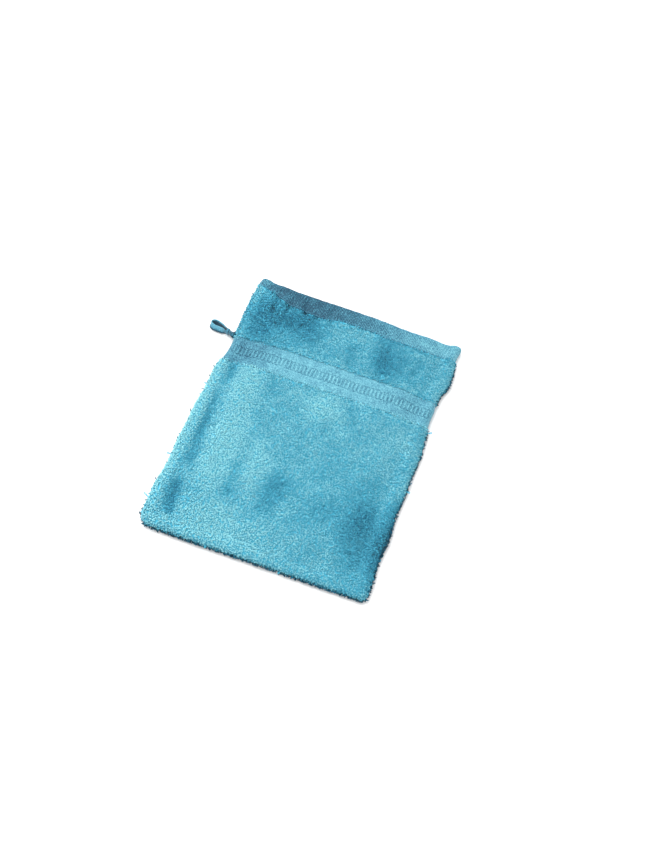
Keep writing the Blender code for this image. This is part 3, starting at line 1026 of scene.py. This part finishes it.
def tapeLine():
    # From inside the seam both legs run out side by side, part from the winding on an S curve, and meet in
    # half an ellipse. The tape lies flat in the seam, turns a quarter as it leaves it, and stands on edge
    # from there, both legs leaning over away from the near side as they part.
    along, across, up = tapeAxes()
    parting = tape["tackStart"] + tape["tackLength"]
    out = np.linspace(-tape["sewnIn"], tape["eyeCentre"], 64)
    share = np.clip((out - parting) / (tape["eyeCentre"] - parting), 0.0, 1.0)
    part = 0.5 * smooth(share) + 0.5 * share
    aside = tape["legSpacing"] + (tape["eyeHalfWidth"] - tape["legSpacing"]) * part
    turn = np.linspace(0.0, np.pi, 47)[1:-1]
    out = np.concatenate([out, tape["eyeCentre"] + tape["eyeReach"] * np.sin(turn), out[::-1]])
    aside = np.concatenate([aside, tape["eyeHalfWidth"] * np.cos(turn), -aside[::-1]])
    turned = np.pi / 2 * (1.0 - smooth((out - tape["twistStart"]) / (tape["twistEnd"] - tape["twistStart"])))
    cosine, sine = np.cos(turned)[:, None], np.sin(turned)[:, None]
    middle = tapeRoot() + out[:, None] * along + aside[:, None] * (cosine * across + sine * up)
    outward = unit(np.cross(np.gradient(middle, axis=0), up))
    far = smooth(0.5 + 0.5 * aside / tape["eyeHalfWidth"])
    flare = tape["nearFlare"] + (tape["farFlare"] - tape["nearFlare"]) * far
    lean = (np.radians(flare) * smooth((out - parting) / (5 * mm)))[:, None]
    return middle, np.cos(lean) * (cosine * up - sine * across) - np.sin(lean) * outward


def addTape(material):
    # The tape's section is a flat oval with thicker selvedges, ribbed across at each weft thread.
    middle, width = tapeLine()
    flow = unit(np.gradient(middle, axis=0))
    width = unit(width - (width * flow).sum(-1, keepdims=True) * flow)
    thick = np.cross(width, flow)
    travel = np.concatenate([[0.0], np.cumsum(np.linalg.norm(np.diff(middle, axis=0), axis=1))])
    angle = np.linspace(0.0, 2 * np.pi, 25)[:-1]
    rib = np.cos(2 * np.pi * travel / tape["ribPitch"])
    wide, high = fillOut(np.cos(angle), 0.7), fillOut(np.sin(angle), 0.7)
    selvedge = 1.0 + 0.22 * bump((np.abs(wide) - 0.86) / 0.2)
    neck = 1.0 - smooth((np.minimum(travel, travel[-1] - travel) - 6 * mm) / (5 * mm))
    wideness = tape["width"] / 2 * (1.0 + 0.02 * rib) * (1.0 - (1.0 - tape["pinched"]) * neck)
    halfWide = wideness[:, None] * wide[None]
    halfHigh = tape["thickness"] / 2 * (0.88 + 0.10 * rib)[:, None] * (high * selvedge)[None]
    rings = middle[:, None] + halfWide[..., None] * width[:, None] + halfHigh[..., None] * thick[:, None]
    piece = makePiece("tape_loop", rings, tubeFaces(len(rings), 24), material)
    # Painted shade low inside the eye, along the lower edges and at the neck by the winding; painted light on
    # the upper edges.
    inner = smooth(0.5 + high) * smooth((travel - 6 * mm) / (6 * mm))[:, None]
    inner = inner * smooth((travel[-1] - travel - 6 * mm) / (6 * mm))[:, None]
    deep = inner * smooth((0.75 - wide) / 0.6)[None] + 0.8 * smooth((-0.25 - wide) / 0.5)[None]
    shade = -0.15 + 0.30 * rib[:, None] - 1.5 * deep - 0.55 * neck[:, None] + 0.12 * wide[None]
    addAttribute(piece, "tapeRib", shade)
    return piece, middle, travel[-1]


def addTack(material):
    # Thread wound round both legs where they leave the seam: an oblong helix, each turn beside the last.
    along, across, up = tapeAxes()
    thread = tape["tackThread"]
    swing = np.linspace(0.0, 2 * np.pi * tape["tackTurns"], tape["tackTurns"] * 16 + 1)
    aside = (tape["legSpacing"] + tape["thickness"] / 2 + thread) * fillOut(np.cos(swing), 0.55)
    height = (tape["width"] / 2 * tape["pinched"] + thread) * fillOut(np.sin(swing), 0.75)
    out = tape["tackStart"] + tape["tackLength"] * swing / swing[-1]
    line = tapeRoot() + out[:, None] * along + aside[:, None] * across + height[:, None] * up
    return addThread("tack_winding", line, thread, material, 6)


# Loops that have snagged and pulled out of the rim, by place, heading and length in millimetres.
snags = [
    ((-78.5, -87.5), (-1.0, 0.45), 4.6),
    ((-78.8, -52.0), (-0.9, -0.3), 2.6),
    ((-78.6, 8.0), (-1.0, 0.2), 2.4),
    ((-30.0, -104.0), (0.2, -1.0), 3.2),
    ((22.0, -103.6), (-0.3, -1.0), 2.8),
    ((79.0, -20.0), (1.0, -0.2), 3.0),
    ((78.8, 28.0), (1.0, 0.4), 3.2),
]


def addSnags(material):
    # Each is a hairpin of yarn: out along its heading and back, a little apart, rising at the tip.
    rings, sides = 15, 5
    body, start, end = tubeFaces(rings, sides)
    q = np.linspace(0.0, 1.0, rings)[:, None]
    points, faces, caps = [], [], []
    for number, (place, heading, length) in enumerate(snags):
        ahead = unit(np.array([*heading, 0.0]))
        side = np.array([-ahead[1], ahead[0], 0.0])
        root = np.array([place[0] * mm, place[1] * mm, seamHeight + 0.6 * mm])
        line = root + ahead * length * mm * np.sin(np.pi * q)
        line = line + side * 0.7 * mm * np.sin(2 * np.pi * q) - side * 0.4 * mm * np.cos(np.pi * q)
        line[:, 2:] += 0.8 * mm * np.sin(np.pi * q) ** 2
        points.append(tubeAlong(line, 0.26 * mm, sides))
        first = number * rings * sides
        faces.append(body + first)
        caps += [start + first, end + first]
    faces = [np.concatenate(faces), np.concatenate(caps)]
    piece = makePiece("pulled_yarns", np.stack(points), faces, material)
    addAttribute(piece, "yarnShade", np.full(len(snags) * rings * sides, 0.5))
    return piece


def liftWithFront(piece):
    # Its points are folded onto one side while its transform is baked in, and then put back.
    count = len(piece.data.vertices)
    places = np.empty(count * 3, np.float32)
    piece.data.vertices.foreach_get("co", places)
    folded = places.reshape(-1, 3).copy()
    folded[:, 0] = -np.abs(folded[:, 0])
    piece.data.vertices.foreach_set("co", folded.ravel())
    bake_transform(piece)
    piece.data.vertices.foreach_set("co", places)
    piece.data.update()


def finishPiece(piece, body, replaced=()):
    if body == "front":
        liftWithFront(piece)
    else:
        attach(piece, body)
    if replaced:
        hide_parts(*replaced)
    return piece


addCamera()
addStudio()
print("camera, light and floor are in place")

tapeCloth, threadStuff = cottonTape(), sewingThread()
loop, loopPath, loopLength = addTape(tapeCloth)
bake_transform(loop)
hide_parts("hanging_loop")
tack = finishPiece(addTack(threadStuff), "loop", ["loop_tack"])
print("hanging loop made,", round(loopLength / mm, 1), "mm of tape")

yarn, ground, flat = terryPile(), terryGround(), flatWeave()
for face in ("front", "back"):
    sheet = finishPiece(addCloth(face, ground), face, [face + "_panel"])
    trims = [addBorder(face, flat), addHem(face, flat)]
    reach = border["halfWidth"] - border["overlap"]
    lowEdges = np.linspace(0.0, arcAtY(border["centre"] - reach), pile[face]["bands"] + 1)
    highEdges = np.linspace(arcAtY(border["centre"] + reach), mouthArc, pile[face]["highBands"] + 1)
    spans = [*zip(lowEdges[:-1], lowEdges[1:]), *zip(highEdges[:-1], highEdges[1:])]
    for number, (low, high) in enumerate(spans):
        seed = pile[face]["seed"] + number
        trims.append(addPile(f"{face}_pile_{number + 1}", face, face, seed, yarn, low, high))
    low, high = mouthArc - pile["innerDepth"], mouthArc - hem["depth"]
    trims.append(addPile(face + "_inner_pile", face, "inner", 130, yarn, low, high))
    if face == "back":
        trims.append(addPile("rim_pile", face, "rim", 140, yarn, 0.0, mouthArc))
    for trim in trims:
        finishPiece(trim, face)
    hemThread = finishPiece(addHemThread(face, threadStuff), face, [face + "_hem_thread"])
    print(face, "panel made")

for side in ("left", "right", "end"):
    finishPiece(addAllowance(side, ground), "back")
    finishPiece(addOverlock(side, threadStuff), "back", [side + "_seam_thread"])
finishPiece(addSnags(yarn), "back")
print("seams and loose yarns made")
